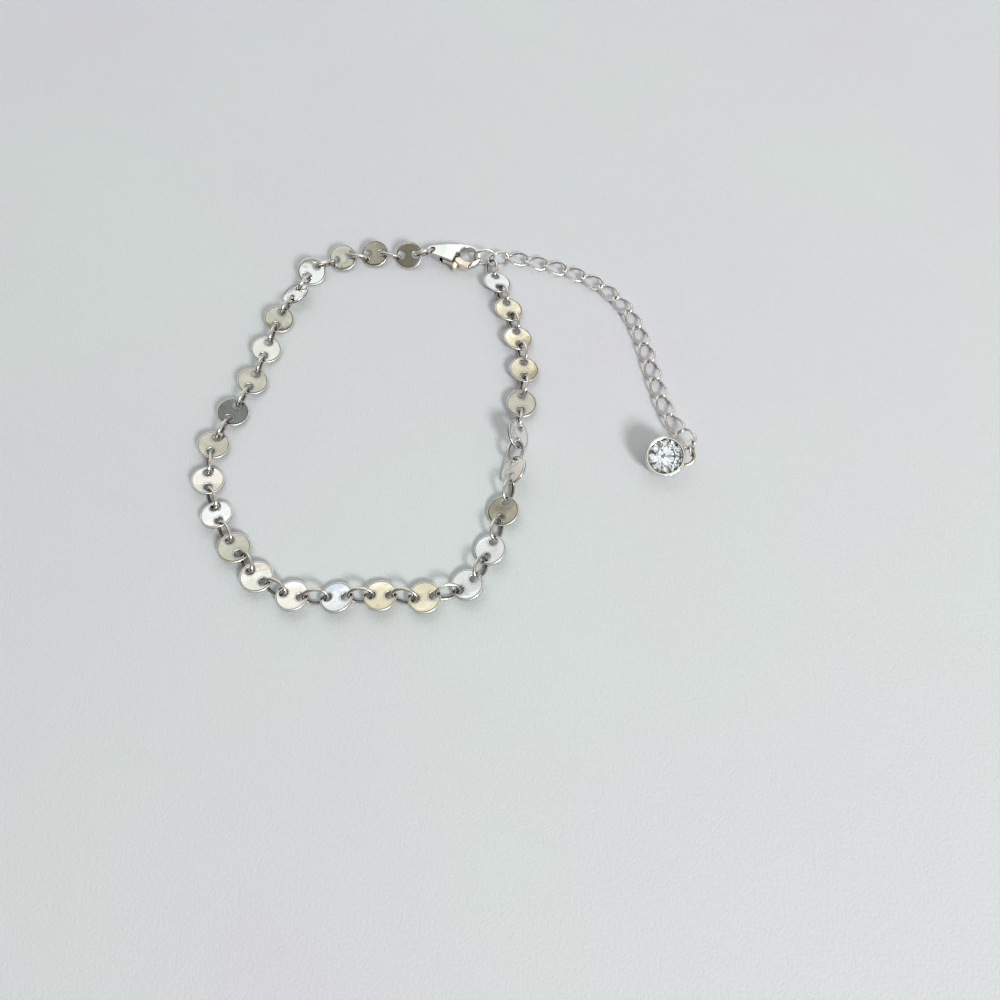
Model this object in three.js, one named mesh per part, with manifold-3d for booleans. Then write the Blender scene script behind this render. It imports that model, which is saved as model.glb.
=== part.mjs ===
// A disc-link bracelet lying closed on a flat surface: twenty-eight pierced discs joined by oval wire links,
// a lobster clasp hooked into the first link of a fine curb extender, and a round bezel-set stone on its end.
// Millimetres, +Z up, standing on z = 0 with the middle of its box at the origin.
// Run with the npm packages three and manifold-3d.

import * as THREE from 'three';
import { mergeVertices } from 'three/addons/utils/BufferGeometryUtils.js';
import Module from 'manifold-3d';

const wasm = await Module();
wasm.setup();

// ---------------------------------------------------------------- driving dimensions (mm, degrees)

const disc = { radius: 2.5, thickness: 0.35, holeRadius: 0.65, holeOffset: 1.33, rimSides: 22, holeSides: 10 };
const oval = { halfLength: 1.75, halfWidth: 1.175, wireRadius: 0.25, steps: 12, sides: 6 }; // of the wire's middle
const hangHeight = 1.0; // the lowest middle height of a disc, carried by the ovals under it
const bite = 0.05; // how far a worn oval has sunk into the web that it pulls on
const slackEnd = 0.2; // how far past the middle of its second hole a slack oval may lie

// The clasp lies along X from its tail hole, and heading turns it on the surface.
const clasp = {
  tail: [-0.9, 36.9], heading: -13.7, thickness: 2, tailRadius: 1, tailHole: 0.55,
  noseDistance: 6.55, noseRadius: 2.5, eye: [6.78, 0.4], eyeRadius: 1.62,
  profile: [[-1.2, 0.55, -0.15], [0.6, 0.8, -0.2], [2.4, 1, -1], [4.8, 1, -1], [8.1, 0.33, -0.33], [9.2, 0.26, -0.26]],
  slot: { from: 1.75, to: 5.3, top: 0.5, height: 1.15 },
  window: [[4.6, 0.2], [4.15, -3.5], [9.2, -3.5], [9.2, -0.6]],
};
const lever = {
  pivot: [2.7, -0.45], pinRadius: 0.3, bossRadius: 0.8, reach: 4.97, armThickness: 0.85, gateThickness: 1.5,
  arm: [[3, 0.2], [4.75, -0.75], [5, -0.8], [5, -2.2], [2.3, -1.57]],
  gateInner: 1.67, gateOuter: 2.45, gateRoot: [[4.78, -0.8], [4.33, -3.5], [9, -3.5], [9, -0.8]],
  tab: { from: [4.9, -1.75], to: [4.95, -2.75], radius: 0.45, thickness: 1.1 },
};
const claspLink = { from: [-3.945, 35.742, 1.532], to: [-0.7, 37.012, 1.21], roll: 118 };
const seam = 0.15; // the clearance between the clasp's body and its lever

const curb = { halfLength: 2, halfWidth: 1.15, wireRadius: 0.2, steps: 14, sides: 6, fullness: 0.85 };
const band = { width: 2.3, height: 1.15, steps: 26 }; // the room that the interlinked curb links take up
const firstLink = { from: [6.83, 35.2, 1.07], to: [10.38, 35.64, 1.45], halfLength: 1.8, roll: 66 };
const secondLink = { from: [9.33, 34.23, 1.15], to: [12.87, 36.07, 0.6], roll: 10 };
const lastLink = { from: [40.25, -0.8, 1], to: [41.75, -4.25, 2.4], roll: 40 };

const bezel = {
  radius: 3.1, faceRadius: 2.95, backRadius: 2, depth: 2.8, wallDepth: 1.3, lipRadius: 2.6, lipDepth: 0.25,
  seatRadius: 2.86, seatDepth: 0.6, backHole: 0.9, coneDepth: 2.15, sides: 28,
  middle: [37.05, -6.8, 3.41], tilt: 28,
};
const eyelet = { distance: 3.3, radius: 1.35, wireRadius: 0.25, depth: 1.2, turn: 0 };
const dropRing = { middle: [41.47, -4.81, 2.38], radius: 1.24, wireRadius: 0.2, normal: [0.92, -0.2, 0.4] };
const stone = { girdle: 2.72, girdleDepth: 0.4, girdleHeight: 0.1, crown: 0.85, table: 1.55, pavilion: 2.1, culet: 0.06 };

// The ring of discs, seen from above, from the clasp's tail round to where its last oval ends.
const routePoints = [
  [-1.5, 35.7], [-5.1, 35.9], [-11.4, 36.5], [-17, 35.6], [-22.4, 32.2], [-24.8, 27.5], [-27, 21.7], [-29.8, 8.9],
  [-34.4, -3.5], [-34.2, -9.8], [-31.8, -15.7], [-24.3, -25.6], [-18.7, -28.4], [-6, -28.4], [0.5, -28.7],
  [7, -26.4], [12.1, -14.2], [14, -4.5], [15, 5.2], [15.4, 12], [12.7, 24.5], [10.7, 30.5], [9.7, 34.6],
];

// The middle of the extender's band of links, from the second link to the last one.
const bandPoints = [
  [12.4, 35.95], [13.5, 35.9], [17.3, 34.9], [23.7, 32.6], [29.5, 29.2], [33.8, 23.7], [36, 16.9], [37.2, 9.8],
  [38.7, 2.9], [39.4, 0.7], [40.3, -1.2, 1.05],
];

// One row for each disc, from the clasp's tail round to the extender: pitch is the way on to the next disc,
// lean turns its face to the inside of the loop, nose lifts its leading edge, and roll is the angle that the
// oval after it stands at: 90 is upright, less leans its top to the inside, more leans it to the outside.
const discRows = [
  { pitch: 6.3, lean: 26, nose: -6, roll: 50 },
  { pitch: 5.8, lean: 18, nose: -6, roll: 50 },
  { pitch: 6.2, lean: 16, nose: -8, roll: 60 },
  { pitch: 5.4, lean: 22, nose: -12, roll: 64 },
  { pitch: 6.1, lean: -20, nose: 2, roll: 76 },
  { pitch: 6.5, lean: 18, nose: -8, roll: 74 },
  { pitch: 6.5, lean: 14, nose: -5, roll: 72 },
  { pitch: 6.5, lean: 14, nose: 0, roll: 72 },
  { pitch: 6.47, lean: 13, nose: 2, roll: 70 },
  { pitch: 6.3, lean: 12, nose: 3, roll: 62 },
  { pitch: 6.24, lean: 12, nose: 3, roll: 56 },
  { pitch: 6.42, lean: 4, nose: 9, roll: 52 },
  { pitch: 6.06, lean: 8, nose: -3, roll: 50 },
  { pitch: 6.25, lean: 6, nose: -2, roll: 50 },
  { pitch: 6.5, lean: 8, nose: 4, roll: 50 },
  { pitch: 6.36, lean: 10, nose: 6, roll: 50 },
  { pitch: 6.4, lean: 10, nose: 0, roll: 51 },
  { pitch: 6.45, lean: 6, nose: 3, roll: 52 },
  { pitch: 6.4, lean: 10, nose: 6, roll: 52 },
  { pitch: 6.64, lean: 14, nose: 2, roll: 52 },
  { pitch: 6.8, lean: 12, nose: 4, roll: 56 },
  { pitch: 6.2, lean: 42, nose: 0, roll: 6 },
  { pitch: 6.47, lean: -52, nose: 0, roll: 100 },
  { pitch: 6.7, lean: -3, nose: 6, roll: 118 },
  { pitch: 6.5, lean: -7, nose: 0, roll: 120 },
  { pitch: 6.35, lean: -10, nose: 0, roll: 126 },
  { pitch: 6.38, lean: -12, nose: 2, roll: 130 },
  { pitch: 6.3, lean: -15, nose: -3, roll: 145 },
];

// ---------------------------------------------------------------- helpers

const degrees = THREE.MathUtils.degToRad;
const up = new THREE.Vector3(0, 0, 1);
const at = (x, y, z = 0) => new THREE.Vector3(x, y, z);
const along = (from, direction, distance) => from.clone().addScaledVector(direction, distance);

function solidOf(geometry, matrix = new THREE.Matrix4()) {
  const bare = geometry.clone().applyMatrix4(matrix);
  bare.deleteAttribute('normal');
  bare.deleteAttribute('uv');
  const merged = mergeVertices(bare, 1e-4);
  return new wasm.Manifold(new wasm.Mesh({
    numProp: 3,
    vertProperties: new Float32Array(merged.attributes.position.array),
    triVerts: new Uint32Array(merged.index.array),
  }));
}

function geometryOf(solid) {
  const mesh = solid.getMesh();
  const geometry = new THREE.BufferGeometry();
  geometry.setAttribute('position', new THREE.BufferAttribute(new Float32Array(mesh.vertProperties), 3));
  geometry.setIndex(new THREE.BufferAttribute(new Uint32Array(mesh.triVerts), 1));
  geometry.computeVertexNormals();
  return geometry;
}

function prism(shape, thickness, curveSegments = 12) {
  const geometry = new THREE.ExtrudeGeometry(shape, { depth: thickness, bevelEnabled: false, curveSegments });
  return geometry.translate(0, 0, -thickness / 2);
}

function polygon(points) {
  return new THREE.Shape(points.map(([x, y]) => new THREE.Vector2(x, y)));
}

function circlePoints(x, y, radius, sides, turn = 0) {
  return Array.from({ length: sides }, (_, i) => {
    const angle = turn + (i * 2 * Math.PI) / sides;
    return new THREE.Vector2(x + radius * Math.cos(angle), y + radius * Math.sin(angle));
  });
}

// A closed loop in the XY plane, long along X: an ellipse, with its ends blunter as fullness goes below one.
class OvalCurve extends THREE.Curve {
  constructor(halfLength, halfWidth, fullness) {
    super();
    Object.assign(this, { halfLength, halfWidth, fullness });
  }

  getPoint(t, target = new THREE.Vector3()) {
    const angle = 2 * Math.PI * t;
    const blunt = (value) => Math.sign(value) * Math.abs(value) ** this.fullness;
    return target.set(this.halfLength * blunt(Math.cos(angle)), this.halfWidth * blunt(Math.sin(angle)), 0);
  }
}

function wireLoop({ halfLength, halfWidth, wireRadius, steps, sides, fullness = 1 }) {
  return new THREE.TubeGeometry(new OvalCurve(halfLength, halfWidth, fullness), steps, wireRadius, sides, true);
}

// A cone frustum about Z between two heights.
function frustum(lowRadius, low, highRadius, high, sides) {
  const geometry = new THREE.CylinderGeometry(highRadius, lowRadius, high - low, sides);
  return solidOf(geometry.rotateX(Math.PI / 2).translate(0, 0, (low + high) / 2));
}

// The frame of a loop between two points, turned about its length by roll: 0 lies flat, 90 stands on edge.
function loopFrame(from, to, roll) {
  const axis = to.clone().sub(from).normalize();
  const level = up.clone().cross(axis).normalize();
  const over = axis.clone().cross(level);
  const across = level.multiplyScalar(Math.cos(roll)).addScaledVector(over, Math.sin(roll));
  const frame = new THREE.Matrix4().makeBasis(axis, across, axis.clone().cross(across));
  return frame.setPosition(from.clone().lerp(to, 0.5));
}

const silver = (colour = 0xd9d9d6) => new THREE.MeshStandardMaterial({ color: colour, metalness: 1, roughness: 0.18 });

const group = new THREE.Group();

function addMesh(name, geometry, frame, material) {
  const mesh = new THREE.Mesh(geometry, material);
  mesh.name = name;
  mesh.position.setFromMatrixPosition(frame);
  mesh.quaternion.setFromRotationMatrix(frame);
  group.add(mesh);
  return mesh;
}

// ---------------------------------------------------------------- the route and the discs' places

const route = new THREE.CatmullRomCurve3(routePoints.map(([x, y]) => at(x, y)), false, 'centripetal');
const firstDisc = at(...routePoints[1]);

// The parameter further on where the route is one pitch away from a place.
function stepAlong(place, from, pitch) {
  const fineness = 4000;
  let t = from;
  while (t < 1 && route.getPoint(t).distanceTo(place) < pitch) t += 1 / fineness;
  return t;
}

const places = [];
let parameter = 1 / (routePoints.length - 1);
let place = firstDisc;
for (const row of discRows) {
  places.push(place);
  parameter = stepAlong(place, parameter, row.pitch);
  place = route.getPoint(parameter);
}
const tailPlace = at(...routePoints[0]);
const junction = at(...routePoints.at(-1));

const discs = discRows.map((row, i) => {
  const before = places[i - 1] ?? tailPlace;
  const after = places[i + 1] ?? junction;
  const heading = after.clone().sub(before).normalize();
  const inward = up.clone().cross(heading);
  const axis = along(heading.multiplyScalar(Math.cos(degrees(row.nose))), up, Math.sin(degrees(row.nose)));
  const level = axis.clone().cross(inward);
  const lean = degrees(row.lean);
  const normal = level.clone().multiplyScalar(Math.cos(lean)).addScaledVector(inward, Math.sin(lean));
  const side = normal.clone().cross(axis);
  const tilt = Math.acos(normal.z);
  const rimRest = disc.radius * Math.sin(tilt) + (disc.thickness / 2) * Math.cos(tilt);
  const middle = places[i].clone().setZ(Math.max(hangHeight, rimRest));
  return { middle, axis, side, normal, frame: new THREE.Matrix4().makeBasis(axis, side, normal).setPosition(middle) };
});

const nearHole = (d) => along(d.middle, d.axis, -disc.holeOffset);
const farHole = (d) => along(d.middle, d.axis, disc.holeOffset);

// How an oval stands on the surface at its roll: lift is how far its middle line is above the holes it hangs
// in, and reach is how long it is at their height.
function ovalStance(height, roll) {
  const halfHeight = oval.halfWidth * Math.sin(roll) + oval.wireRadius;
  const lift = Math.max(0, (halfHeight - height) / Math.sin(roll));
  return { lift, reach: 2 * oval.halfLength * Math.sqrt(1 - (lift / oval.halfWidth) ** 2) };
}

function ovalFrame(start, towards, roll, { lift, reach }) {
  const end = along(start, towards.clone().sub(start).normalize(), reach);
  const frame = loopFrame(start, end, roll);
  const across = new THREE.Vector3().setFromMatrixColumn(frame, 1);
  return frame.setPosition(along(start.lerp(end, 0.5), across, lift));
}

// An oval that leaves a disc bears on the edge of its hole: at the web where the chain is drawn out, further
// round to the side where the chain is slack.
function leavingOval(from, holeTo, roll) {
  const holeFrom = farHole(from);
  const stance = ovalStance((holeFrom.z + holeTo.z) / 2, roll);
  const bearing = disc.holeRadius - oval.wireRadius + bite;
  const spare = holeFrom.distanceTo(holeTo) - stance.reach + slackEnd;
  const outward = THREE.MathUtils.clamp(spare, -0.8 * bearing, bearing);
  const sideways = Math.sqrt(bearing ** 2 - outward ** 2);
  const start = along(along(holeFrom, from.axis, outward), from.side, sideways);
  return ovalFrame(start, holeTo, roll, stance);
}

// ---------------------------------------------------------------- disc links: a pierced disc and its oval

const discShape = new THREE.Shape(circlePoints(0, 0, disc.radius, disc.rimSides, Math.PI / disc.rimSides));
for (const x of [-disc.holeOffset, disc.holeOffset]) {
  discShape.holes.push(new THREE.Path(circlePoints(x, 0, disc.holeRadius, disc.holeSides)));
}
const discSolid = solidOf(prism(discShape, disc.thickness));
const ovalGeometry = wireLoop(oval);

discs.forEach((d, i) => {
  const onward = discs[i + 1] ? nearHole(discs[i + 1]) : junction.clone().setZ(hangHeight);
  const ovalPlace = leavingOval(d, onward, degrees(discRows[i].roll));
  const inDisc = d.frame.clone().invert().multiply(ovalPlace);
  const solid = discSolid.add(solidOf(ovalGeometry, inDisc));
  addMesh(`disc_link_${String(i + 1).padStart(2, '0')}`, geometryOf(solid), d.frame, silver());
});

// ---------------------------------------------------------------- lobster clasp: body, lever and its oval

const claspFrame = new THREE.Matrix4().makeRotationZ(degrees(clasp.heading));
claspFrame.setPosition(...clasp.tail, clasp.thickness / 2);

// A round tail and a round nose joined by their two tangents, with the tail's middle at the origin.
function teardrop(tailRadius, noseRadius, distance) {
  const tangent = Math.acos((tailRadius - noseRadius) / distance);
  const arc = (x, radius, from, to, steps) => Array.from({ length: steps + 1 }, (_, i) => {
    const angle = from + ((to - from) * i) / steps;
    return [x + radius * Math.cos(angle), radius * Math.sin(angle)];
  });
  const nose = arc(distance, noseRadius, -tangent, tangent, 18);
  const tail = arc(0, tailRadius, tangent, 2 * Math.PI - tangent, 8);
  return polygon([...nose, ...tail]);
}

const [pivotX, pivotY] = lever.pivot;
const high = clasp.thickness;
const round = (x, y, radius, height, sides) =>
  frustum(radius, -height / 2, radius, height / 2, sides).translate([x, y, 0]);
const sideOutline = [
  ...clasp.profile.map(([x, , underside]) => [x, underside]),
  ...clasp.profile.map(([x, top]) => [x, top]).reverse(),
];
const sideBlank = solidOf(prism(polygon(sideOutline), 2 * clasp.noseRadius + 1).rotateX(Math.PI / 2));
const slotShape = polygon([
  [clasp.slot.from, -3.5], [clasp.slot.to, -3.5], [clasp.slot.to, clasp.slot.top], [clasp.slot.from, clasp.slot.top],
]);
const windowCut = solidOf(prism(polygon(clasp.window), 2 * high))
  .intersect(round(pivotX, pivotY, lever.reach + seam, 2 * high, 48));

const claspBody = solidOf(prism(teardrop(clasp.tailRadius, clasp.noseRadius, clasp.noseDistance), high))
  .intersect(sideBlank)
  .subtract(round(0, 0, clasp.tailHole, 2 * high, 12))
  .subtract(round(...clasp.eye, clasp.eyeRadius, 2 * high, 24))
  .subtract(windowCut)
  .subtract(solidOf(prism(slotShape, clasp.slot.height)))
  .add(round(pivotX, pivotY, lever.pinRadius, clasp.slot.height + 0.3, 10));
addMesh('clasp_body', geometryOf(claspBody), claspFrame, silver());

// The lever: an arm on the pin inside the slot, the gate that closes the eye, and the tab that a thumb draws.
const gateBlank = round(clasp.noseDistance, 0, lever.gateOuter, lever.gateThickness, 32)
  .intersect(solidOf(prism(polygon(lever.gateRoot), high)))
  .intersect(sideBlank);
const tabSpan = at(...lever.tab.to).sub(at(...lever.tab.from));
const tabShape = polygon([
  [0, -lever.tab.radius], [tabSpan.length(), -lever.tab.radius],
  [tabSpan.length(), lever.tab.radius], [0, lever.tab.radius],
]);
const tabBar = solidOf(prism(tabShape, lever.tab.thickness).rotateZ(Math.atan2(tabSpan.y, tabSpan.x)));
const leverSolid = solidOf(prism(polygon(lever.arm), lever.armThickness))
  .add(round(pivotX, pivotY, lever.bossRadius, lever.armThickness, 14))
  .add(gateBlank)
  .subtract(round(...clasp.eye, lever.gateInner, 2 * high, 32))
  .intersect(round(pivotX, pivotY, lever.reach, 2 * high, 48))
  .add(tabBar.translate([...lever.tab.from, 0]))
  .add(round(...lever.tab.to, lever.tab.radius, lever.tab.thickness, 12))
  .subtract(round(pivotX, pivotY, lever.pinRadius + seam, 2 * high, 12))
  .translate([-pivotX, -pivotY, 0]);
const leverFrame = claspFrame.clone().multiply(new THREE.Matrix4().makeTranslation(pivotX, pivotY, 0));
addMesh('clasp_lever', geometryOf(leverSolid), leverFrame, silver());

// The oval between the first disc and the tail leans over the tail's low edge.
const claspOval = loopFrame(at(...claspLink.from), at(...claspLink.to), degrees(claspLink.roll));
addMesh('clasp_link', ovalGeometry, claspOval, silver());

// ---------------------------------------------------------------- extender: first link, and the band of links

const linkGeometry = wireLoop(curb);
const firstGeometry = wireLoop({ ...curb, halfLength: firstLink.halfLength });
const firstFrame = loopFrame(at(...firstLink.from), at(...firstLink.to), degrees(firstLink.roll));
addMesh('first_link', firstGeometry, firstFrame, silver());

const bandRoute = new THREE.CatmullRomCurve3(
  bandPoints.map(([x, y, z = band.height / 2]) => at(x, y, z)), false, 'centripetal');
const bandSection = new THREE.Shape(circlePoints(0, 0, 0.5 / Math.cos(Math.PI / 8), 8, Math.PI / 8)
  .map((point) => point.multiply(new THREE.Vector2(band.height, band.width))));
const bandGeometry = new THREE.ExtrudeGeometry(bandSection, { steps: band.steps, extrudePath: bandRoute });
const endLoop = ({ from, to, roll }) => solidOf(linkGeometry, loopFrame(at(...from), at(...to), degrees(roll)));
const extender = solidOf(bandGeometry).add(endLoop(secondLink)).add(endLoop(lastLink));
addMesh('extender_chain', geometryOf(extender), new THREE.Matrix4(), silver());

// ---------------------------------------------------------------- drop: jump ring, bezel with its eyelet, stone

const ringNormal = at(...dropRing.normal).normalize();
const ringTop = up.clone().projectOnPlane(ringNormal).normalize();
const ringFrame = new THREE.Matrix4().makeBasis(ringTop.clone().cross(ringNormal), ringTop, ringNormal);
ringFrame.setPosition(...dropRing.middle);
addMesh('drop_ring', new THREE.TorusGeometry(dropRing.radius, dropRing.wireRadius, 6, 18), ringFrame, silver());

const bezelFrame = new THREE.Matrix4().makeRotationX(degrees(bezel.tilt)).setPosition(...bezel.middle);
const cup = frustum(bezel.radius, -0.1, bezel.faceRadius, 0, bezel.sides)
  .add(frustum(bezel.radius, -bezel.wallDepth, bezel.radius, -0.1, bezel.sides))
  .add(frustum(bezel.backRadius, -bezel.depth, bezel.radius, -bezel.wallDepth, bezel.sides));
const eyeletRing = new THREE.TorusGeometry(eyelet.radius, eyelet.wireRadius, 6, 20)
  .translate(eyelet.distance, 0, -eyelet.depth)
  .rotateZ(degrees(eyelet.turn));
const bezelSolid = cup
  .add(solidOf(eyeletRing))
  .subtract(frustum(bezel.lipRadius, -bezel.lipDepth - 0.1, bezel.lipRadius, 1, bezel.sides))
  .subtract(frustum(bezel.seatRadius, -bezel.seatDepth, bezel.seatRadius, -bezel.lipDepth, bezel.sides))
  .subtract(frustum(bezel.backHole, -bezel.coneDepth, bezel.seatRadius, -bezel.seatDepth, bezel.sides))
  .subtract(frustum(bezel.backHole, -bezel.depth - 1, bezel.backHole, -bezel.coneDepth, bezel.sides));
addMesh('bezel', geometryOf(bezelSolid), bezelFrame, silver());

const girdleFoot = -stone.girdleDepth - stone.girdleHeight;
const stoneSolid = frustum(stone.culet, girdleFoot - stone.pavilion, stone.girdle, girdleFoot, 16)
  .add(frustum(stone.girdle, girdleFoot, stone.girdle, -stone.girdleDepth, 16))
  .add(frustum(stone.girdle, -stone.girdleDepth, stone.table, stone.crown - stone.girdleDepth, 16));
const clear = new THREE.MeshPhysicalMaterial({ color: 0xf4f8fb, metalness: 0, roughness: 0.02, transmission: 0.6 });
addMesh('stone', geometryOf(stoneSolid), bezelFrame, clear);

// ---------------------------------------------------------------- the whole, moved to the middle of its box

const box = new THREE.Box3().setFromObject(group, true);
const middle = box.getCenter(new THREE.Vector3());
group.position.set(-middle.x, -middle.y, -box.min.z);

export default group;
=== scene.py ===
# A disc-link bracelet lying closed on a pale surface: twenty-eight pierced silver discs joined by oval wire
# links, a lobster clasp hooked into the first link of a curb extender, and a bezel-set clear stone on its
# end.
import math

import bmesh
import bpy
import numpy as np
from mathutils import Matrix, Vector, geometry


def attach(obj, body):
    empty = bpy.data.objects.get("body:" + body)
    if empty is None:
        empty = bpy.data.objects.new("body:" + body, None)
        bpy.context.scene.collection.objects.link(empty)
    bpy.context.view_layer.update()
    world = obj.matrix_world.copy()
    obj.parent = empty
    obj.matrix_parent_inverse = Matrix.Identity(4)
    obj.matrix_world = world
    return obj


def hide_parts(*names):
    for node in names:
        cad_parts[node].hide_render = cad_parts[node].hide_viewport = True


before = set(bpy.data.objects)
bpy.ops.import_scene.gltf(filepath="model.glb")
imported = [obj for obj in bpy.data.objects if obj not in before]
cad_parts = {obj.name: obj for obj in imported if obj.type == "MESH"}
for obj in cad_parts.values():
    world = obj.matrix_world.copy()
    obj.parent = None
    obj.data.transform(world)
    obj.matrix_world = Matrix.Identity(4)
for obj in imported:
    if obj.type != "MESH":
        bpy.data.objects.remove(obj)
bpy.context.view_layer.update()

# ---- Pierced discs ---------------------------------------------------------------------------------------
# Round blanks punched from 0.35 mm sterling silver sheet, with a hole punched near each of two opposite
# sides. Tumbling has softened every edge, domed the faces a little and left small dings.
MM = 0.001
DISC_RADIUS = 2.5 * MM
DISC_HALF = 0.175 * MM
HOLE_RADIUS = 0.65 * MM
HOLE_OFFSET = 1.33 * MM
RIM_EDGE = 0.15 * MM  # the radius that tumbling leaves on a punched edge
HOLE_EDGE = 0.11 * MM
GROOVE_IN = 0.21 * MM  # the shallow line that the punch presses just inside the rim
GROOVE_WIDTH = 0.05 * MM
GROOVE_DEPTH = 0.018 * MM
HOLE_LINE_IN = GROOVE_IN * 0.75  # the painted shade line round each hole
HOLE_LINE_WIDTH = GROOVE_WIDTH / 1.5
DISC_DOME = 0.05 * MM
DINGS = 5
DING_DEPTH = 0.014 * MM
AT_WALL = 0.005 * MM  # points this near the outline are on the punched wall
DING_SEED = 40
DISC_COUNT = 28
SAME_WAY = 0.9999  # two normals whose product is over this face the same way


def corners_of(node):
    """The node's own corner points, each once."""
    points = np.array([v.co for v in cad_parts[node].data.vertices], float)
    return np.unique(np.round(points, 8), axis=0)


def unit(vector):
    return vector / np.linalg.norm(vector)


def disc_place(node):
    """Middle, axis towards its oval, side and normal of the pierced disc in a disc link."""
    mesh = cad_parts[node].data
    normals = np.array([p.normal for p in mesh.polygons])
    areas = np.array([p.area for p in mesh.polygons])
    faces = [list(p.vertices) for p in mesh.polygons]
    totals = [areas[normals @ n > SAME_WAY].sum() for n in normals]
    normal = normals[int(np.argmax(totals))]
    normal = unit(areas[normals @ normal > 0.999] @ normals[normals @ normal > 0.999])
    normal = normal if normal[2] > 0 else -normal
    flat = sorted({i for f, n in zip(faces, normals) if n @ normal > SAME_WAY for i in f})
    face = np.unique(np.round([mesh.vertices[i].co for i in flat], 8), axis=0)
    across = unit(np.cross(normal, [0.3, 1, 0]))
    upward = np.cross(normal, across)
    flat_a, flat_b = face @ across, face @ upward
    middle = across * (flat_a.max() + flat_a.min()) / 2 + upward * (flat_b.max() + flat_b.min()) / 2
    middle = middle + normal * ((face @ normal).mean() - DISC_HALF)
    spread = corners_of(node)
    apart = spread - middle
    out = np.linalg.norm(apart - np.outer(apart @ normal, normal), axis=1)
    towards_oval = apart[out > DISC_RADIUS * 1.1].mean(0)
    # The corners well inside the rim are those of the two holes. The hole away from the oval gives the axis.
    inner = face[np.linalg.norm(face - middle - normal * DISC_HALF, axis=1) < 0.85 * DISC_RADIUS]
    near = inner[(inner - middle) @ towards_oval < 0]
    axis = middle + normal * DISC_HALF - near.mean(0)
    axis = unit(axis - normal * (axis @ normal))
    return middle, axis, np.cross(normal, axis), normal


def ring(x, y, radius, count):
    turn = np.arange(count) * 2 * math.pi / count
    return np.stack([x + radius * np.cos(turn), y + radius * np.sin(turn)], axis=1)


def edge_distance(points):
    """How far each point is inside the disc's sheet from its rim, and from the nearest hole."""
    from_rim = DISC_RADIUS - np.linalg.norm(points, axis=1)
    from_holes = [np.linalg.norm(points - [x, 0], axis=1) - HOLE_RADIUS
                  for x in (-HOLE_OFFSET, HOLE_OFFSET)]
    return from_rim, np.minimum(*from_holes)


def disc_pattern():
    """Points and triangles of a disc's flat pattern: rings close together along its edges, and an even grid
    of points over the rest."""
    rim_steps = np.array([0, 0.012, 0.035, 0.07, 0.1, 0.13, 0.16, 0.19, 0.22, 0.26, 0.34]) * MM
    hole_steps = np.array([0, 0.01, 0.035, 0.07, 0.115, 0.15, 0.19]) * MM
    rings = [ring(0, 0, DISC_RADIUS - s, 90) for s in rim_steps]
    for x in (-HOLE_OFFSET, HOLE_OFFSET):
        rings += [ring(x, 0, HOLE_RADIUS + s, 36) for s in hole_steps]
    pitch = 0.27 * MM
    row_height = 0.87
    rows = range(-11, 12)
    grid = np.array([[(i + (j % 2) / 2) * pitch, j * pitch * row_height] for i in rows for j in rows])
    from_rim, from_hole = edge_distance(grid)
    points = np.concatenate(rings + [grid[(from_rim > 0.45 * MM) & (from_hole > 0.27 * MM)]])
    found = geometry.delaunay_2d_cdt([Vector(p * 1000) for p in points], [], [], 0, 1e-6)
    flat = np.array([list(v) for v in found[0]]) / 1000
    triangles = [f for f in found[2] if min(edge_distance(flat[list(f)].mean(0)[None]))[0] > 0]
    return flat, triangles


def stain(mesh, name, amounts):
    """Keep an amount for each point, which the silver's finish reads."""
    mesh.attributes.new(name, "FLOAT", "POINT").data.foreach_set("value", list(amounts))


def add_mesh(name, points, faces, material, smooth=True):
    mesh = bpy.data.meshes.new(name)
    mesh.from_pydata([tuple(p) for p in points], [], [tuple(f) for f in faces])
    shell = bmesh.new()
    shell.from_mesh(mesh)
    bmesh.ops.recalc_face_normals(shell, faces=shell.faces)
    shell.to_mesh(mesh)
    shell.free()
    if smooth:
        mesh.polygons.foreach_set("use_smooth", [True] * len(mesh.polygons))
    mesh.materials.append(material)
    piece = bpy.data.objects.new(name, mesh)
    bpy.context.scene.collection.objects.link(piece)
    return piece


def sheet_faces(triangles, count):
    """The faces of a closed sheet: the pattern, its copy turned over, and the wall round each outline."""
    faces = [tuple(f) for f in triangles] + [tuple(i + count for i in reversed(f)) for f in triangles]
    sides = {}
    for f in triangles:
        for a, b in zip(f, f[1:] + f[:1]):
            sides[(a, b)] = sides.get((a, b), 0) + 1
    for a, b in sides:
        if (b, a) not in sides:
            faces.append((b, a, a + count, b + count))
    return faces


# The dark brown of painted shade.
PAINTED_SHADE_COLOUR = (0.05, 0.037, 0.028)
# The white of a painted highlight, on edges that wear has also made hazy.
RUBBED_HIGHLIGHT = (0.97, 0.97, 0.96)
RUBBED_HAZE = 0.26  # how much rougher a rubbed edge is
SHADE_REACH = 0.4 * MM  # how near another surface the colour turns to painted shade
HAIRLINE = 0.0008 * MM
DENT = 0.02 * MM


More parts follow.
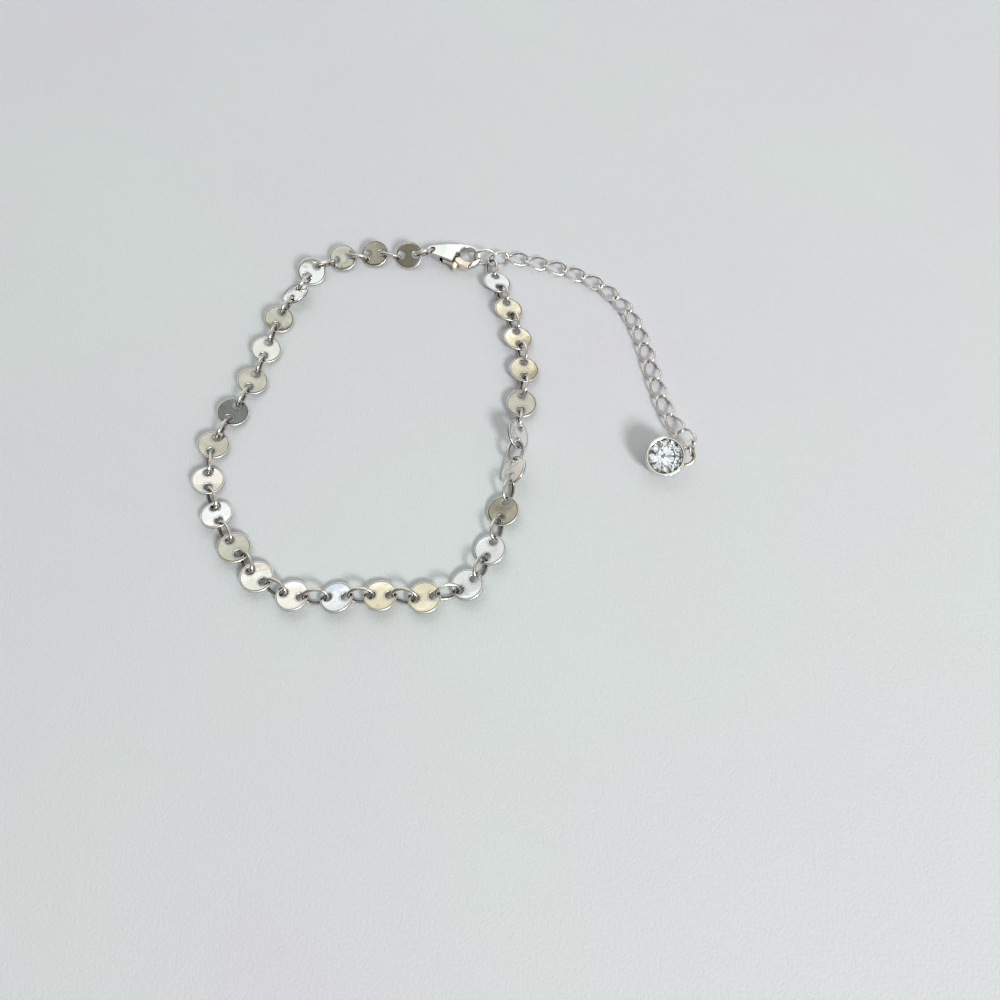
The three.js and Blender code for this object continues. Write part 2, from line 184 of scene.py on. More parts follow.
def silver(name, light, dark, rough, ding=1.0):
    """Polished silver whose tone drifts softly between light and dark. It has hairlines and dents, goes dark
    brown near other surfaces and where a point's shade amount says (painted shade), and is white and hazy
    where a point's edge amount says: the haze is wear and the white is a painted highlight."""
    material = bpy.data.materials.new(name)
    material.use_nodes = True
    nodes, links = material.node_tree.nodes, material.node_tree.links
    shader = nodes["Principled BSDF"]
    shader.inputs["Metallic"].default_value = 1
    where = nodes.new("ShaderNodeTexCoord")

    def cloud(scale, detail=3.0, stretch=None):
        noise = nodes.new("ShaderNodeTexNoise")
        noise.inputs["Scale"].default_value = scale
        noise.inputs["Detail"].default_value = detail
        if stretch:
            turn = nodes.new("ShaderNodeMapping")
            turn.inputs["Scale"].default_value = stretch
            turn.inputs["Rotation"].default_value = (0.2, 0.3, 0.7)
            links.new(where.outputs["Object"], turn.inputs["Vector"])
            links.new(turn.outputs["Vector"], noise.inputs["Vector"])
        else:
            links.new(where.outputs["Object"], noise.inputs["Vector"])
        return noise.outputs["Fac"]

    tone = nodes.new("ShaderNodeValToRGB")
    tone.color_ramp.elements[0].position = 0.3
    tone.color_ramp.elements[0].color = (*dark, 1)
    tone.color_ramp.elements[1].position = 0.62
    tone.color_ramp.elements[1].color = (*light, 1)
    links.new(cloud(420), tone.inputs["Fac"])
    colour = tone.outputs["Color"]
    # Painted shade: within this reach of another surface the colour goes dark brown.
    recess = nodes.new("ShaderNodeAmbientOcclusion")
    recess.samples = 6
    recess.inputs["Distance"].default_value = SHADE_REACH
    depth = nodes.new("ShaderNodeMapRange")
    depth.inputs["From Min"].default_value = 0.15
    depth.inputs["From Max"].default_value = 0.75
    depth.inputs["To Min"].default_value = 0.95
    depth.inputs["To Max"].default_value = 0
    links.new(recess.outputs["AO"], depth.inputs["Value"])
    recess_shade = nodes.new("ShaderNodeMix")
    recess_shade.data_type = "RGBA"
    recess_shade.inputs["B"].default_value = (*PAINTED_SHADE_COLOUR, 1)
    links.new(depth.outputs["Result"], recess_shade.inputs["Factor"])
    links.new(colour, recess_shade.inputs["A"])
    colour = recess_shade.outputs["Result"]
    # Painted shade from the first stored amount, and a painted highlight from the second.
    for amount, painted_colour in (("painted_shade", PAINTED_SHADE_COLOUR), ("rubbed_highlight", RUBBED_HIGHLIGHT)):
        read = nodes.new("ShaderNodeAttribute")
        read.attribute_name = amount
        over = nodes.new("ShaderNodeMix")
        over.data_type = "RGBA"
        over.inputs["B"].default_value = (*painted_colour, 1)
        links.new(read.outputs["Fac"], over.inputs["Factor"])
        links.new(colour, over.inputs["A"])
        colour = over.outputs["Result"]
    links.new(colour, shader.inputs["Base Color"])
    haze = nodes.new("ShaderNodeMapRange")
    haze.inputs["From Min"].default_value = 0.3
    haze.inputs["From Max"].default_value = 0.75
    haze.inputs["To Min"].default_value = rough * 0.7
    haze.inputs["To Max"].default_value = rough * 1.6
    links.new(cloud(1500, 5), haze.inputs["Value"])
    worn = nodes.new("ShaderNodeMath")
    worn.operation = "MULTIPLY_ADD"
    worn.inputs[1].default_value = RUBBED_HAZE
    links.new(read.outputs["Fac"], worn.inputs[0])
    links.new(haze.outputs["Result"], worn.inputs[2])
    links.new(worn.outputs["Value"], shader.inputs["Roughness"])
    hairlines = nodes.new("ShaderNodeBump")
    hairlines.inputs["Distance"].default_value = HAIRLINE
    links.new(cloud(9000, 2, (1, 14, 6)), hairlines.inputs["Height"])
    dents = nodes.new("ShaderNodeBump")
    dents.inputs["Distance"].default_value = DENT * ding
    links.new(cloud(900, 1), dents.inputs["Height"])
    links.new(hairlines.outputs["Normal"], dents.inputs["Normal"])
    links.new(dents.outputs["Normal"], shader.inputs["Normal"])
    return material


bright_silver = silver("bright_silver", (0.93, 0.925, 0.91), (0.84, 0.84, 0.82), 0.1)
silver_cream_reflection = silver("silver_cream_reflection", (0.86, 0.82, 0.68), (0.7, 0.67, 0.52), 0.12)
silver_cool_reflection = silver("silver_cool_reflection", (0.78, 0.82, 0.88), (0.66, 0.7, 0.75), 0.1)
silver_soft_reflection = silver("silver_soft_reflection", (0.72, 0.71, 0.65), (0.56, 0.55, 0.49), 0.13)
silver_deep_reflection = silver("silver_deep_reflection", (0.42, 0.4, 0.34), (0.28, 0.27, 0.22), 0.14)
silver_dark_reflection = silver("silver_dark_reflection", (0.25, 0.27, 0.265), (0.17, 0.19, 0.19), 0.15)
# The real discs are probably one silver and look different because each mirrors something else. These
# materials paint that reflection into each disc's colour, disc by disc: painted reflections. The rest are
# bright.
DISC_PAINTED_REFLECTION = {9: silver_dark_reflection}
DISC_PAINTED_REFLECTION.update({n: silver_deep_reflection for n in (2, 21)})
DISC_PAINTED_REFLECTION.update({n: silver_soft_reflection for n in (3, 6, 8, 10, 13, 24)})
DISC_PAINTED_REFLECTION.update({n: silver_cream_reflection for n in (17, 18, 25, 26, 27)})
DISC_PAINTED_REFLECTION.update({n: silver_cool_reflection for n in (16, 19, 20)})

pattern, triangles = disc_pattern()
from_rim, from_hole = edge_distance(pattern)
groove = np.exp(-((from_rim - GROOVE_IN) / GROOVE_WIDTH) ** 2)
half = DISC_HALF - GROOVE_DEPTH * groove
for inside, edge in ((from_rim, RIM_EDGE), (from_hole, HOLE_EDGE)):
    rounding = np.clip(1 - np.maximum(inside, 0) / edge, 0, 1)
    half = half - edge * (1 - np.sqrt(1 - rounding ** 2))
at_wall = np.minimum(from_rim, from_hole) < AT_WALL
hole_line = np.exp(-((from_hole - HOLE_LINE_IN) / HOLE_LINE_WIDTH) ** 2)
# Painted shade: the punched walls, the groove inside the rim and a line round each hole go dark brown.
painted_shade = np.where(at_wall, 1, np.maximum(groove, 0.7 * hole_line))
# Painted shade: the back goes dark brown, nearly fully at its rim, so less light reaches the paper beneath.
back_painted_shade = np.where(from_rim < RIM_EDGE, 0.95, 0.5)
# Painted highlight: the rounded rim and hole edges go white on top; their added haze is wear.
rubbed_highlight = np.where(at_wall, 0, (from_rim < RIM_EDGE) | (from_hole < HOLE_EDGE))
closed = sheet_faces(triangles, len(pattern))
disc_places = []
for number in range(1, DISC_COUNT + 1):
    middle, axis, side, normal = disc_place(f"disc_link_{number:02d}")
    disc_places.append((middle, axis, side, normal))
    chance = np.random.default_rng(DING_SEED + number)
    bend = -DISC_DOME * (pattern ** 2).sum(1) / DISC_RADIUS ** 2
    for _ in range(DINGS):
        spot = chance.uniform(-0.8, 0.8, 2) * DISC_RADIUS
        width = chance.uniform(0.2, 0.42) * DISC_RADIUS
        from_spot = ((pattern - spot) ** 2).sum(1) / width ** 2
        bend = bend + chance.uniform(-1, 1) * DING_DEPTH * np.exp(-from_spot)
    in_plane = middle + np.outer(pattern[:, 0], axis) + np.outer(pattern[:, 1], side)
    top = in_plane + np.outer(bend + half, normal)
    back = in_plane + np.outer(bend - half, normal)
    piece = add_mesh(f"disc_{number:02d}", np.concatenate([top, back]), closed,
                     DISC_PAINTED_REFLECTION.get(number, bright_silver))
    stain(piece.data, "painted_shade", np.concatenate([painted_shade, back_painted_shade]))
    stain(piece.data, "rubbed_highlight", np.concatenate([rubbed_highlight, 0 * rubbed_highlight]))
    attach(piece, "bracelet")
    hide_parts(f"disc_link_{number:02d}")

# ---- Oval links ------------------------------------------------------------------------------------------
# One oval of 0.5 mm round wire joins each disc to the next, and one more joins the first disc to the clasp.
# Each is bent on a mandrel, sprung through two holes and closed with a soldered seam.
OVAL_LENGTH = 1.75 * MM  # half of it, at the middle of the wire
OVAL_WIDTH = 1.175 * MM
OVAL_WIRE = 0.25 * MM


def loop_place(points):
    """Middle, long axis, side and normal of the flat wire loop that has these corner points."""
    middle = points.mean(0)
    for _ in range(3):
        spread = np.linalg.svd(points - middle, full_matrices=False)[2]
        reach = (points - middle) @ spread.T
        middle = middle + (reach.max(0) + reach.min(0)) / 2 @ spread
    return middle, spread[0], spread[1], spread[2]


def oval_corners(node, place):
    """The corners of the oval in a disc link, without those on its disc's faces or its hole's wall."""
    middle, axis, side, normal = place
    points = corners_of(node)
    apart = points - middle
    level = np.abs(apart @ normal)
    in_plane = np.hypot(apart @ axis, apart @ side)
    from_hole = np.hypot(apart @ axis - HOLE_OFFSET, apart @ side)
    on_face = (np.abs(level - DISC_HALF) < 0.002 * MM) & (in_plane < DISC_RADIUS * 1.01)
    on_wall = (level < DISC_HALF) & (from_hole > 0.6 * MM) & (from_hole < 0.66 * MM)
    return points[~on_face & ~on_wall]


def bent_oval(length, width, fullness=1.0, count=64):
    """Points round a flat oval about the origin, its ends blunter as fullness goes below one."""
    turn = np.arange(count) * 2 * math.pi / count

    def blunt(v):
        return np.sign(v) * np.abs(v) ** fullness

    return np.stack([length * blunt(np.cos(turn)), width * blunt(np.sin(turn)), 0 * turn], axis=1)


def wire_ring(name, line, level, radius, material, sides=16, inner_shade=0.9):
    """A closed round wire along a line of points. level is the ring's own upward direction at each point,
    and the last argument says how dark the side towards the ring's middle is painted: painted shade."""
    count = len(line)
    ahead = np.roll(line, -1, axis=0) - np.roll(line, 1, axis=0)
    ahead /= np.linalg.norm(ahead, axis=1)[:, None]
    outward = np.cross(ahead, level)
    outward /= np.linalg.norm(outward, axis=1)[:, None]
    outward *= np.sign((outward * (line - line.mean(0))).sum())
    over = np.cross(outward, ahead)
    turn = np.arange(sides) * 2 * math.pi / sides
    points = (line[:, None] + radius * (np.cos(turn)[None, :, None] * outward[:, None]
                                        + np.sin(turn)[None, :, None] * over[:, None])).reshape(-1, 3)
    faces = [(i * sides + j, i * sides + (j + 1) % sides, (i + 1) % count * sides + (j + 1) % sides,
              (i + 1) % count * sides + j) for i in range(count) for j in range(sides)]
    piece = add_mesh(name, points, faces, material)
    # Painted shade: the side towards the ring's middle goes dark brown.
    shade_inside = inner_shade * np.clip(0.1 - np.cos(turn), 0, 1)
    stain(piece.data, "painted_shade", np.tile(shade_inside, count))
    return piece


def place_oval(name, points, node):
    middle, axis, side, normal = loop_place(points)
    flat = bent_oval(OVAL_LENGTH, OVAL_WIDTH)
    line = middle + flat[:, :1] * axis + flat[:, 1:2] * side
    piece = wire_ring(name, line, np.tile(normal, (len(line), 1)), OVAL_WIRE, wire_silver)
    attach(piece, "bracelet")
    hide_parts(node)


wire_silver = silver("wire_silver", (0.92, 0.885, 0.84), (0.7, 0.66, 0.61), 0.22, 0.7)
for number, place in enumerate(disc_places, 1):
    node = f"disc_link_{number:02d}"
    place_oval(f"oval_{number:02d}", oval_corners(node, place), node)
place_oval("clasp_oval", corners_of("clasp_link"), "clasp_link")

# ---- Clasp body ------------------------------------------------------------------------------------------
# The lobster clasp's body is cast in silver with its eye, slot and tail hole, then filed and tumbled, so it
# has no sharp corner left. The lever's pin is filed flush and doesn't show.
CLASP_SIDE_SHADE = 0.36  # how dark the steep sides are painted beside the bright top: painted shade
CLASP_GRAIN = 0.05 * MM
CLASP_ROUNDS = 30


def softened(name, node, grain, rounds, material, side_shade):
    """The node's solid with all its corners rounded off, as filing and tumbling do, and its steep sides
    painted
    darker than its flat top: painted shade. A coarser grain or more rounds takes more off."""
    points = corners_of(node)
    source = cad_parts[node].data
    lookup = {tuple(p): i for i, p in enumerate(points)}
    own = [lookup[tuple(np.round(np.array(v.co, float), 8))] for v in source.vertices]
    faces = [tuple(own[i] for i in p.vertices) for p in source.polygons]
    rough_piece = add_mesh(name + "_blank", points, faces, material)
    remesh = rough_piece.modifiers.new("grain", "REMESH")
    remesh.mode = "VOXEL"
    remesh.voxel_size = grain
    tumble = rough_piece.modifiers.new("tumble", "SMOOTH")
    tumble.factor = 0.5
    tumble.iterations = rounds
    graph = bpy.context.evaluated_depsgraph_get()
    mesh = bpy.data.meshes.new_from_object(rough_piece.evaluated_get(graph), depsgraph=graph)
    mesh.name = name
    mesh.polygons.foreach_set("use_smooth", [True] * len(mesh.polygons))
    facing = np.empty(len(mesh.vertices) * 3)
    mesh.vertex_normals.foreach_get("vector", facing)
    upright = facing[2::3]
    side_on = np.clip(3 * (0.9 - np.abs(upright)), 0, 1)  # none on a flat top, full on a steep side
    # Painted shade: the steeper a side, the darker brown it goes; the flat top stays bright.
    stain(mesh, "painted_shade", side_shade * side_on)
    bpy.data.objects.remove(rough_piece)
    piece = bpy.data.objects.new(name, mesh)
    bpy.context.scene.collection.objects.link(piece)
    return piece


cast_silver = silver("cast_silver", (0.96, 0.95, 0.92), (0.88, 0.88, 0.84), 0.12)
clasp = softened("clasp_cast", "clasp_body", CLASP_GRAIN, CLASP_ROUNDS, cast_silver, CLASP_SIDE_SHADE)
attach(clasp, "bracelet")
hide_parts("clasp_body")

# ---- Clasp lever -----------------------------------------------------------------------------------------
# A stamped silver lever turns on the pin in the body's slot. Its curved gate closes the eye, and a small
# nub on its outer side is drawn back with a thumb nail.
# How dark the lever's steep sides are painted: painted shade.
LEVER_SIDE_SHADE = 0.12
LEVER_GRAIN = 0.045 * MM
LEVER_ROUNDS = 16
stamped_silver = silver("stamped_silver", (0.97, 0.91, 0.8), (0.82, 0.72, 0.57), 0.2)
gate = softened("clasp_gate", "clasp_lever", LEVER_GRAIN, LEVER_ROUNDS, stamped_silver, LEVER_SIDE_SHADE)
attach(gate, "lever")
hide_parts("clasp_lever")

# ---- Extender chain --------------------------------------------------------------------------------------
# Sixteen links of 0.44 mm silver wire, bent as ovals and twisted so that the chain lies flat, as a curb
# chain does; the two end ones are twisted at one end only. The clasp hooks into one more link at the chain's
# head, which is flat.
CURB_LENGTH = 2 * MM  # half of it, as with the widths below, at the middle of the wire
CURB_WIDTH = 1.24 * MM
CURB_WIRE = 0.22 * MM
CURB_FULLNESS = 0.85
CURB_INNER_SHADE = 0.45  # the painted shade inside the fine links is lighter than inside the ovals
CURB_TWIST = math.radians(35)
CURB_COUNT = 14  # the links between the two end ones
CURB_SIDES = 14
CURB_SEAT = 0.2  # mm from the middle of a link's end to where its neighbour bears on it
HEAD_LENGTH = 1.8 * MM
HEAD_ROLL = math.radians(10)
TAIL_ROLL = math.radians(40)
curb_silver = silver("curb_silver", (0.98, 0.955, 0.92), (0.87, 0.83, 0.78), 0.24, 0.5)
# The routes below are in mm from where the chain was laid out. SHIFT moves them to the middle of its box.
SHIFT = np.array([-2.7129, -3.8661, 0.0664])
HEAD_LINK = np.array([[9.33, 34.23, 1.15], [12.87, 36.07, 0.6]])
TAIL_LINK = np.array([[40.25, -0.8, 1], [41.75, -4.25, 2.4]])
BAND = np.array([[12.4, 35.95, 0.575], [13.5, 35.9, 0.575], [17.3, 34.9, 0.575], [23.7, 32.6, 0.575],
                 [29.5, 29.2, 0.575], [33.8, 23.7, 0.575], [36, 16.9, 0.575], [37.2, 9.8, 0.575],
                 [38.7, 2.9, 0.575], [39.4, 0.7, 0.6], [40.3, -1.2, 1.05]])


def smooth_route(points, fineness=60):
    """A smooth line through the points."""
    ends = np.concatenate([[2 * points[0] - points[1]], points, [2 * points[-1] - points[-2]]])
    line = []
    for p0, p1, p2, p3 in zip(ends, ends[1:], ends[2:], ends[3:]):
        for t in np.arange(fineness) / fineness:
            line.append(0.5 * (2 * p1 + (p2 - p0) * t + (2 * p0 - 5 * p1 + 4 * p2 - p3) * t ** 2
                               + (3 * p1 - p0 - 3 * p2 + p3) * t ** 3))
    return np.array(line + [points[-1]])


def joints_along(line, start, end, count):
    """Places along the line from start to end, each the same distance from the one before."""
    def walk(pitch):
        places, index = [start], 0
        for _ in range(count):
            while index < len(line) - 1 and np.linalg.norm(line[index] - places[-1]) < pitch:
                index += 1
            places.append(line[index])
        return places

    close_enough = 0.02
    low, high = 3.0, 4.2  # mm: the real pitch lies between these
    for _ in range(40):
        pitch = (low + high) / 2
        ending = walk(pitch)[-1]
        short = np.linalg.norm(ending - end) > close_enough and ending[1] > end[1]
        low, high = (pitch, high) if short else (low, pitch)
    return walk(low)[:-1] + [end]


def curb_link(name, start, end, roll, twists, node, length=None):
    """A wire oval between two places, rolled about its length, turned at each end by its own twist."""
    along = unit(end - start)
    level = unit(np.cross([0, 0, 1], along))
    over = np.cross(along, level)
    length = np.linalg.norm(end - start) / 2 if length is None else length
    flat = bent_oval(length, CURB_WIDTH, CURB_FULLNESS, 72)
    share = np.clip(flat[:, 0] / length, -1, 1)
    turn = roll + np.where(share < 0, -share * twists[0], share * twists[1])
    across = np.outer(np.cos(turn), level) + np.outer(np.sin(turn), over)
    line = (start + end) / 2 + np.outer(flat[:, 0], along) + flat[:, 1:2] * across
    piece = wire_ring(name, line, np.cross(along, across), CURB_WIRE, curb_silver, CURB_SIDES, CURB_INNER_SHADE)
    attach(piece, "bracelet")
    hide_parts(node)


def inner_end(start, end, at_end):
    """Where the next link's wire touches the inside of this link's end."""
    along = unit(end - start)
    return end - along * CURB_SEAT if at_end else start + along * CURB_SEAT


middle, axis, side, normal = loop_place(corners_of("first_link"))
flat = bent_oval(HEAD_LENGTH, CURB_WIDTH, CURB_FULLNESS, 72)
line = middle + flat[:, :1] * axis + flat[:, 1:2] * side
head_level = np.tile(normal, (len(line), 1))
head = wire_ring("curb_link_01", line, head_level, CURB_WIRE, curb_silver, CURB_SIDES, CURB_INNER_SHADE)
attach(head, "bracelet")
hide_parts("first_link")

curb_link("curb_link_02", *((HEAD_LINK + SHIFT) * MM), HEAD_ROLL, (0, CURB_TWIST), "extender_chain",
          CURB_LENGTH)
chain_start = inner_end(*HEAD_LINK, True)
chain_end = inner_end(*TAIL_LINK, False)
joints = joints_along(smooth_route(BAND), chain_start, chain_end, CURB_COUNT)
for number, (start, end) in enumerate(zip(joints, joints[1:]), 3):
    along = unit(end - start) * CURB_SEAT
    curb_link(f"curb_link_{number:02d}", (start - along + SHIFT) * MM, (end + along + SHIFT) * MM, 0,
              (-CURB_TWIST, CURB_TWIST), "extender_chain")
curb_link("curb_link_17", *((TAIL_LINK + SHIFT) * MM), TAIL_ROLL, (-CURB_TWIST, 0), "extender_chain",
          CURB_LENGTH)

# ---- Jump ring -------------------------------------------------------------------------------------------
# A round ring of 0.4 mm silver wire, opened to take the last curb link and the drop's eyelet and shut again.
# Its join doesn't show.
JUMP_RADIUS = 1.24 * MM
JUMP_WIRE = 0.2 * MM
JUMP_STEPS = 80
middle, axis, side, normal = loop_place(corners_of("drop_ring"))
turn = np.arange(JUMP_STEPS) * 2 * math.pi / JUMP_STEPS
line = middle + JUMP_RADIUS * (np.outer(np.cos(turn), axis) + np.outer(np.sin(turn), side))
jump = wire_ring("jump_ring", line, np.tile(normal, (len(line), 1)), JUMP_WIRE, curb_silver)
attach(jump, "bracelet")
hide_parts("drop_ring")

# ---- Bezel and eyelet ------------------------------------------------------------------------------------
# A turned silver cup whose thin wall is rubbed over the stone's edge, open at the back to let light in, with
# a wire eyelet soldered to its side. Its profile, seat and eyelet are in mm from the middle of its top.
BEZEL_TILT = math.radians(28)
BEZEL_MIDDLE = (np.array([37.05, -6.8, 3.41]) + SHIFT) * MM
BEZEL_PROFILE = [
    (0.9, -2.34), (0.9, -2.78), (0.94, -2.8), (1.96, -2.8), (2.03, -2.76), (3.04, -1.4), (3.08, -1.33),
    (3.1, -1.25), (3.1, -0.16), (3.09, -0.1), (3.06, -0.05), (3.02, -0.02), (2.96, 0), (2.78, 0),
    (2.71, -0.02), (2.66, -0.06), (2.62, -0.12), (2.6, -0.22), (2.62, -0.26), (2.86, -0.4), (2.86, -0.62),
]
STONE_SEAT = 2.87  # the radius inside which the cup is painted dark below SEAT_TOP: painted shade under the stone
SEAT_TOP = -0.2
CUP_STEPS = 128
RING_STEPS = 80
EYELET = {"distance": 3.3, "radius": 1.35, "wire": 0.25, "depth": 1.2}
tilted = np.array([[1, 0, 0], [0, math.cos(BEZEL_TILT), math.sin(BEZEL_TILT)],
                   [0, -math.sin(BEZEL_TILT), math.cos(BEZEL_TILT)]])  # rows: the bezel's own X, Y and Z


def turned(name, profile, count, material):
    """A closed profile of (radius, height) in mm turned about the bezel's axis."""
    turn = np.arange(count) * 2 * math.pi / count
    points = [(r * math.cos(a), r * math.sin(a), z) for a in turn for r, z in profile]
    points = BEZEL_MIDDLE + np.array(points) * MM @ tilted
    size = len(profile)
    faces = [(i * size + j, (i + 1) % count * size + j, (i + 1) % count * size + (j + 1) % size,
              i * size + (j + 1) % size) for i in range(count) for j in range(size)]
    return add_mesh(name, points, faces, material)


cup = turned("bezel_cup", BEZEL_PROFILE, CUP_STEPS, cast_silver)
# Painted shade: the cup goes dark brown inside this radius and below the seat's top, under the stone.
under_stone = [r < STONE_SEAT and z < SEAT_TOP for r, z in BEZEL_PROFILE]
stain(cup.data, "painted_shade", np.tile(np.array(under_stone, float), CUP_STEPS))
turn = np.arange(RING_STEPS) * 2 * math.pi / RING_STEPS
local = np.stack([EYELET["distance"] + EYELET["radius"] * np.cos(turn), EYELET["radius"] * np.sin(turn),
                  0 * turn - EYELET["depth"]], axis=1)
solder_silver = silver("solder_silver", (0.88, 0.79, 0.63), (0.56, 0.46, 0.33), 0.2)
eyelet_level = np.tile(tilted[2], (RING_STEPS, 1))
eyelet = wire_ring("bezel_eyelet", BEZEL_MIDDLE + local * MM @ tilted, eyelet_level,
                   EYELET["wire"] * MM, solder_silver)
for piece in (cup, eyelet):
    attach(piece, "bracelet")
    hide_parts("bezel")

# ---- Stone -----------------------------------------------------------------------------------------------
# A clear round brilliant, 5.4 mm across, ground with a table, eight stars, eight kites and sixteen upper
# facets above its girdle, and eight mains and sixteen lower facets below it. It sits in the cup's seat, and
# its sizes are in mm from the middle of the cup's top.
STONE = {"girdle": 2.7, "girdle_top": -0.41, "girdle_foot": -0.5, "table": 1.5, "crown": 0.42, "kite": 2.06,
         "main": 0.6, "culet": -2.74}


def brilliant():
    """Corner points, in mm about the bezel's middle, and flat facets."""
    g, top, foot = STONE["girdle"], STONE["girdle_top"], STONE["girdle_foot"]

    def circle(radius, height, count, offset=0.0):
        return [(radius * math.cos(a), radius * math.sin(a), height)
                for a in (2 * math.pi * (i + offset) / count for i in range(count))]

    half_turn = math.cos(math.pi / 8)
    crown_slope = (STONE["crown"] - top) / (g - STONE["table"])
    kite_height = STONE["crown"] - crown_slope * (STONE["kite"] * half_turn - STONE["table"])
    main_height = STONE["culet"] + (foot - STONE["culet"]) / g * STONE["main"] * half_turn
    points = circle(STONE["table"], STONE["crown"], 8) + circle(STONE["kite"], kite_height, 8, 0.5)
    points += circle(g, top, 16) + circle(g, foot, 16)
    points += circle(STONE["main"], main_height, 8, 0.5) + [(0, 0, STONE["culet"])]
    table, kite, rim, low, main, tip = 0, 8, 16, 32, 48, 56
    facets = [tuple(range(8))]
    for i in range(8):
        j, k = (i + 1) % 8, (i - 1) % 8
        facets.append((table + i, kite + i, table + j))
        facets.append((table + i, kite + k, rim + 2 * i, kite + i))
        facets.append((kite + i, rim + 2 * i, rim + 2 * i + 1))
        facets.append((kite + i, rim + 2 * i + 1, rim + (2 * i + 2) % 16))
        facets.append((low + (2 * i + 1) % 16, low + 2 * i, main + i))
        facets.append((low + (2 * i + 2) % 16, low + 2 * i + 1, main + i))
        facets.append((main + i, low + 2 * i, main + k, tip))
    facets += [(rim + i, low + i, low + (i + 1) % 16, rim + (i + 1) % 16) for i in range(16)]
    return np.array(points), facets


cut_stone = bpy.data.materials.new("cut_stone")
cut_stone.use_nodes = True
shader = cut_stone.node_tree.nodes["Principled BSDF"]
shader.inputs["Transmission Weight"].default_value = 1
shader.inputs["IOR"].default_value = 2.16
nodes, links = cut_stone.node_tree.nodes, cut_stone.node_tree.links
where = nodes.new("ShaderNodeTexCoord")
cloudy = nodes.new("ShaderNodeTexNoise")
cloudy.inputs["Scale"].default_value = 700
tint = nodes.new("ShaderNodeValToRGB")
tint.color_ramp.elements[0].color = (0.86, 0.9, 0.97, 1)
tint.color_ramp.elements[1].color = (0.96, 0.97, 1.0, 1)
haze = nodes.new("ShaderNodeMapRange")
haze.inputs["To Max"].default_value = 0.03
links.new(where.outputs["Object"], cloudy.inputs["Vector"])
links.new(cloudy.outputs["Fac"], tint.inputs["Fac"])
links.new(tint.outputs["Color"], shader.inputs["Base Color"])
links.new(cloudy.outputs["Fac"], haze.inputs["Value"])
links.new(haze.outputs["Result"], shader.inputs["Roughness"])
points, facets = brilliant()
stone = add_mesh("brilliant", BEZEL_MIDDLE + points * MM @ tilted, facets, cut_stone, smooth=False)
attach(stone, "bracelet")
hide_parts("stone")

# ---- Setting ---------------------------------------------------------------------------------------------
# The bracelet lies on a sheet of plain pale paper under soft studio light: window panels behind it, pale
# cards around it and one low lamp.
paper = bpy.data.materials.new("pale_paper")
paper.use_nodes = True
nodes, links = paper.node_tree.nodes, paper.node_tree.links
shader = nodes["Principled BSDF"]
shader.inputs["Roughness"].default_value = 0.75
where = nodes.new("ShaderNodeTexCoord")
mottle = nodes.new("ShaderNodeTexNoise")
mottle.inputs["Scale"].default_value = 14
mottle.inputs["Detail"].default_value = 3
tone = nodes.new("ShaderNodeValToRGB")
tone.color_ramp.elements[0].position = 0.35
tone.color_ramp.elements[0].color = (0.84, 0.86, 0.96, 1)
tone.color_ramp.elements[1].position = 0.65
tone.color_ramp.elements[1].color = (0.82, 0.91, 0.94, 1)
fibre = nodes.new("ShaderNodeTexNoise")
fibre.inputs["Scale"].default_value = 2600
fibre.inputs["Detail"].default_value = 4
grain = nodes.new("ShaderNodeBump")
grain.inputs["Distance"].default_value = 0.09 * MM
for noise in (mottle, fibre):
    links.new(where.outputs["Object"], noise.inputs["Vector"])
links.new(mottle.outputs["Fac"], tone.inputs["Fac"])
links.new(tone.outputs["Color"], shader.inputs["Base Color"])
links.new(fibre.outputs["Fac"], grain.inputs["Height"])
links.new(grain.outputs["Normal"], shader.inputs["Normal"])
floor = add_mesh("floor", [(-1, -1, 0), (1, -1, 0), (1, 1, 0), (-1, 1, 0)], [(0, 1, 2, 3)], paper)

# The room beyond the lights is dim, and darkest low down.
world = bpy.data.worlds.new("room")
bpy.context.scene.world = world
world.use_nodes = True
nodes, links = world.node_tree.nodes, world.node_tree.links
where = nodes.new("ShaderNodeTexCoord")
height = nodes.new("ShaderNodeSeparateXYZ")
room = nodes.new("ShaderNodeValToRGB")
room.color_ramp.elements[0].position = 0.0
room.color_ramp.elements[0].color = (0.07, 0.05, 0.04, 1)
room.color_ramp.elements[1].position = 1.0
room.color_ramp.elements[1].color = (0.2, 0.19, 0.14, 1)
links.new(where.outputs["Generated"], height.inputs["Vector"])
links.new(height.outputs["Z"], room.inputs["Fac"])
links.new(room.outputs["Color"], nodes["Background"].inputs["Color"])


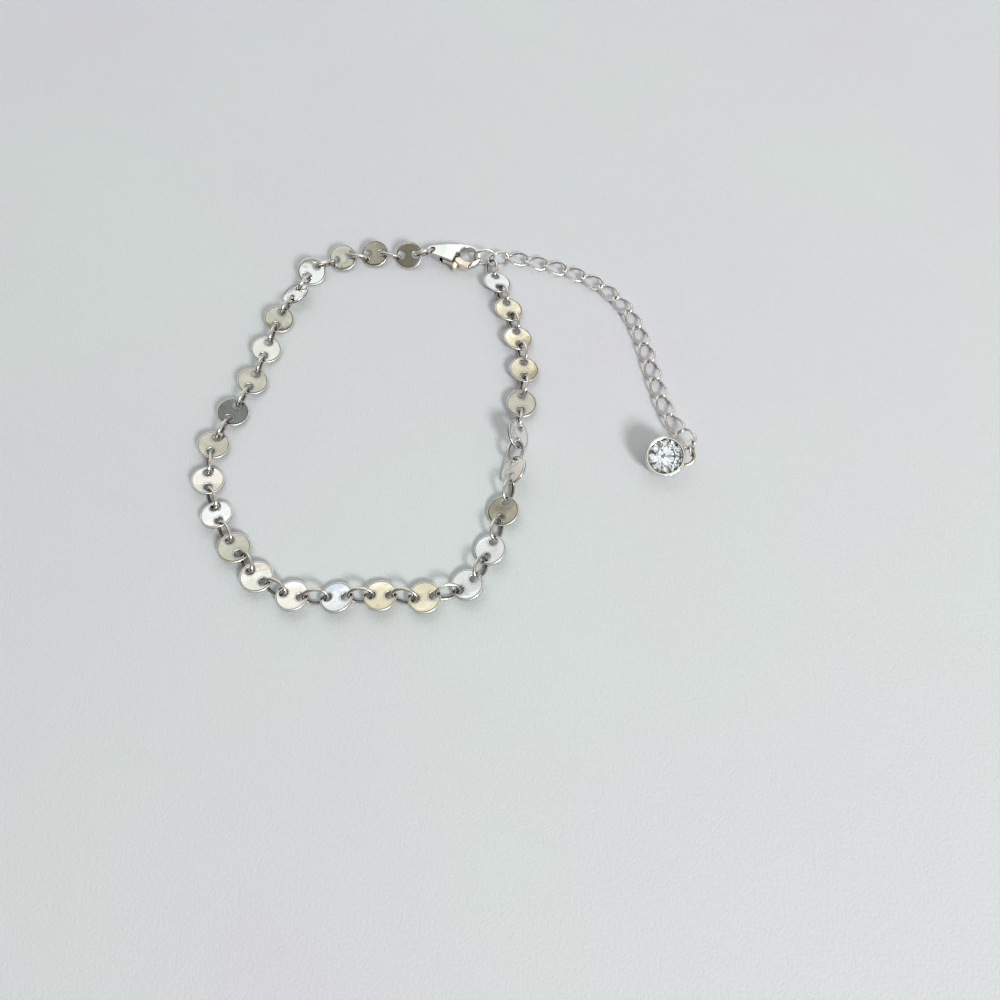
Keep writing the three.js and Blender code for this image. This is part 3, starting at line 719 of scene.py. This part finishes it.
def softbox(name, bearing, height, distance, width, depth, brightness, colour, on_paper=True,
            in_metal=True):
    """A light panel facing the bracelet, hidden from the camera: bearing clockwise from +Y and height in
    degrees, sizes in metres. A panel that isn't on_paper is a reflector card, seen in the metal alone. One
    that isn't in_metal only fills the shadows on the paper."""
    b, h = math.radians(bearing), math.radians(height)
    away = Vector((math.sin(b) * math.cos(h), math.cos(b) * math.cos(h), math.sin(h)))
    light = bpy.data.lights.new(name, "AREA")
    light.shape = "RECTANGLE"
    light.size, light.size_y = width, depth
    light.energy = brightness * math.pi * width * depth
    light.color = colour
    panel = bpy.data.objects.new(name, light)
    panel.location = away * distance
    panel.rotation_mode = "QUATERNION"
    panel.rotation_quaternion = away.to_track_quat("Z", "Y")
    panel.visible_diffuse = on_paper
    panel.visible_glossy = in_metal
    panel.visible_camera = False
    bpy.context.scene.collection.objects.link(panel)


softbox("window_low", -12, 29, 0.7, 0.95, 0.5, 0.9, (0.88, 0.95, 1.0))
softbox("window_middle", -17, 52, 0.7, 0.76, 0.14, 0.85, (1.0, 0.985, 0.92))
softbox("window_high", -17, 61, 0.7, 0.72, 0.09, 0.6, (1.0, 0.98, 0.94))
softbox("window_top", -10, 73, 0.7, 0.7, 0.22, 0.74, (0.95, 1.0, 0.96), False)
softbox("overhead", 172, 66, 0.7, 0.36, 0.62, 0.85, (0.88, 0.98, 1.0), False)
softbox("warm_wall", 60, 30, 0.7, 0.72, 0.6, 0.36, (1.0, 0.86, 0.72))
softbox("pale_wall", -58, 8, 0.9, 0.6, 0.36, 0.6, (1.0, 0.98, 0.93))
softbox("front_wall", 116, 24, 0.75, 0.46, 0.34, 0.8, (1.0, 1.0, 1.0))
softbox("lamp", 147, 35, 0.9, 0.2, 0.2, 37, (1.0, 0.98, 0.94))
softbox("sky_fill", 0, 85, 0.7, 1.0, 1.0, 0.24, (0.92, 0.93, 1.0), True, False)

camera = bpy.data.cameras.new("camera")
camera.lens = 27.04
camera.sensor_width = 36
camera.dof.use_dof = False
camera.clip_start, camera.clip_end = 0.005, 5
viewer = bpy.data.objects.new("camera", camera)
right = Vector((1, 0, -0.0042))
top = Vector((0.0018, 0.9055, 0.4244))
back = Vector((0.0038, -0.4244, 0.9054))
turned_to = Matrix((right, top, back)).transposed().to_4x4()
viewer.matrix_world = Matrix.Translation((0.009127, -0.066046, 0.1058)) @ turned_to
bpy.context.scene.collection.objects.link(viewer)
bpy.context.scene.camera = viewer
bpy.context.scene.view_settings.view_transform = "Standard"
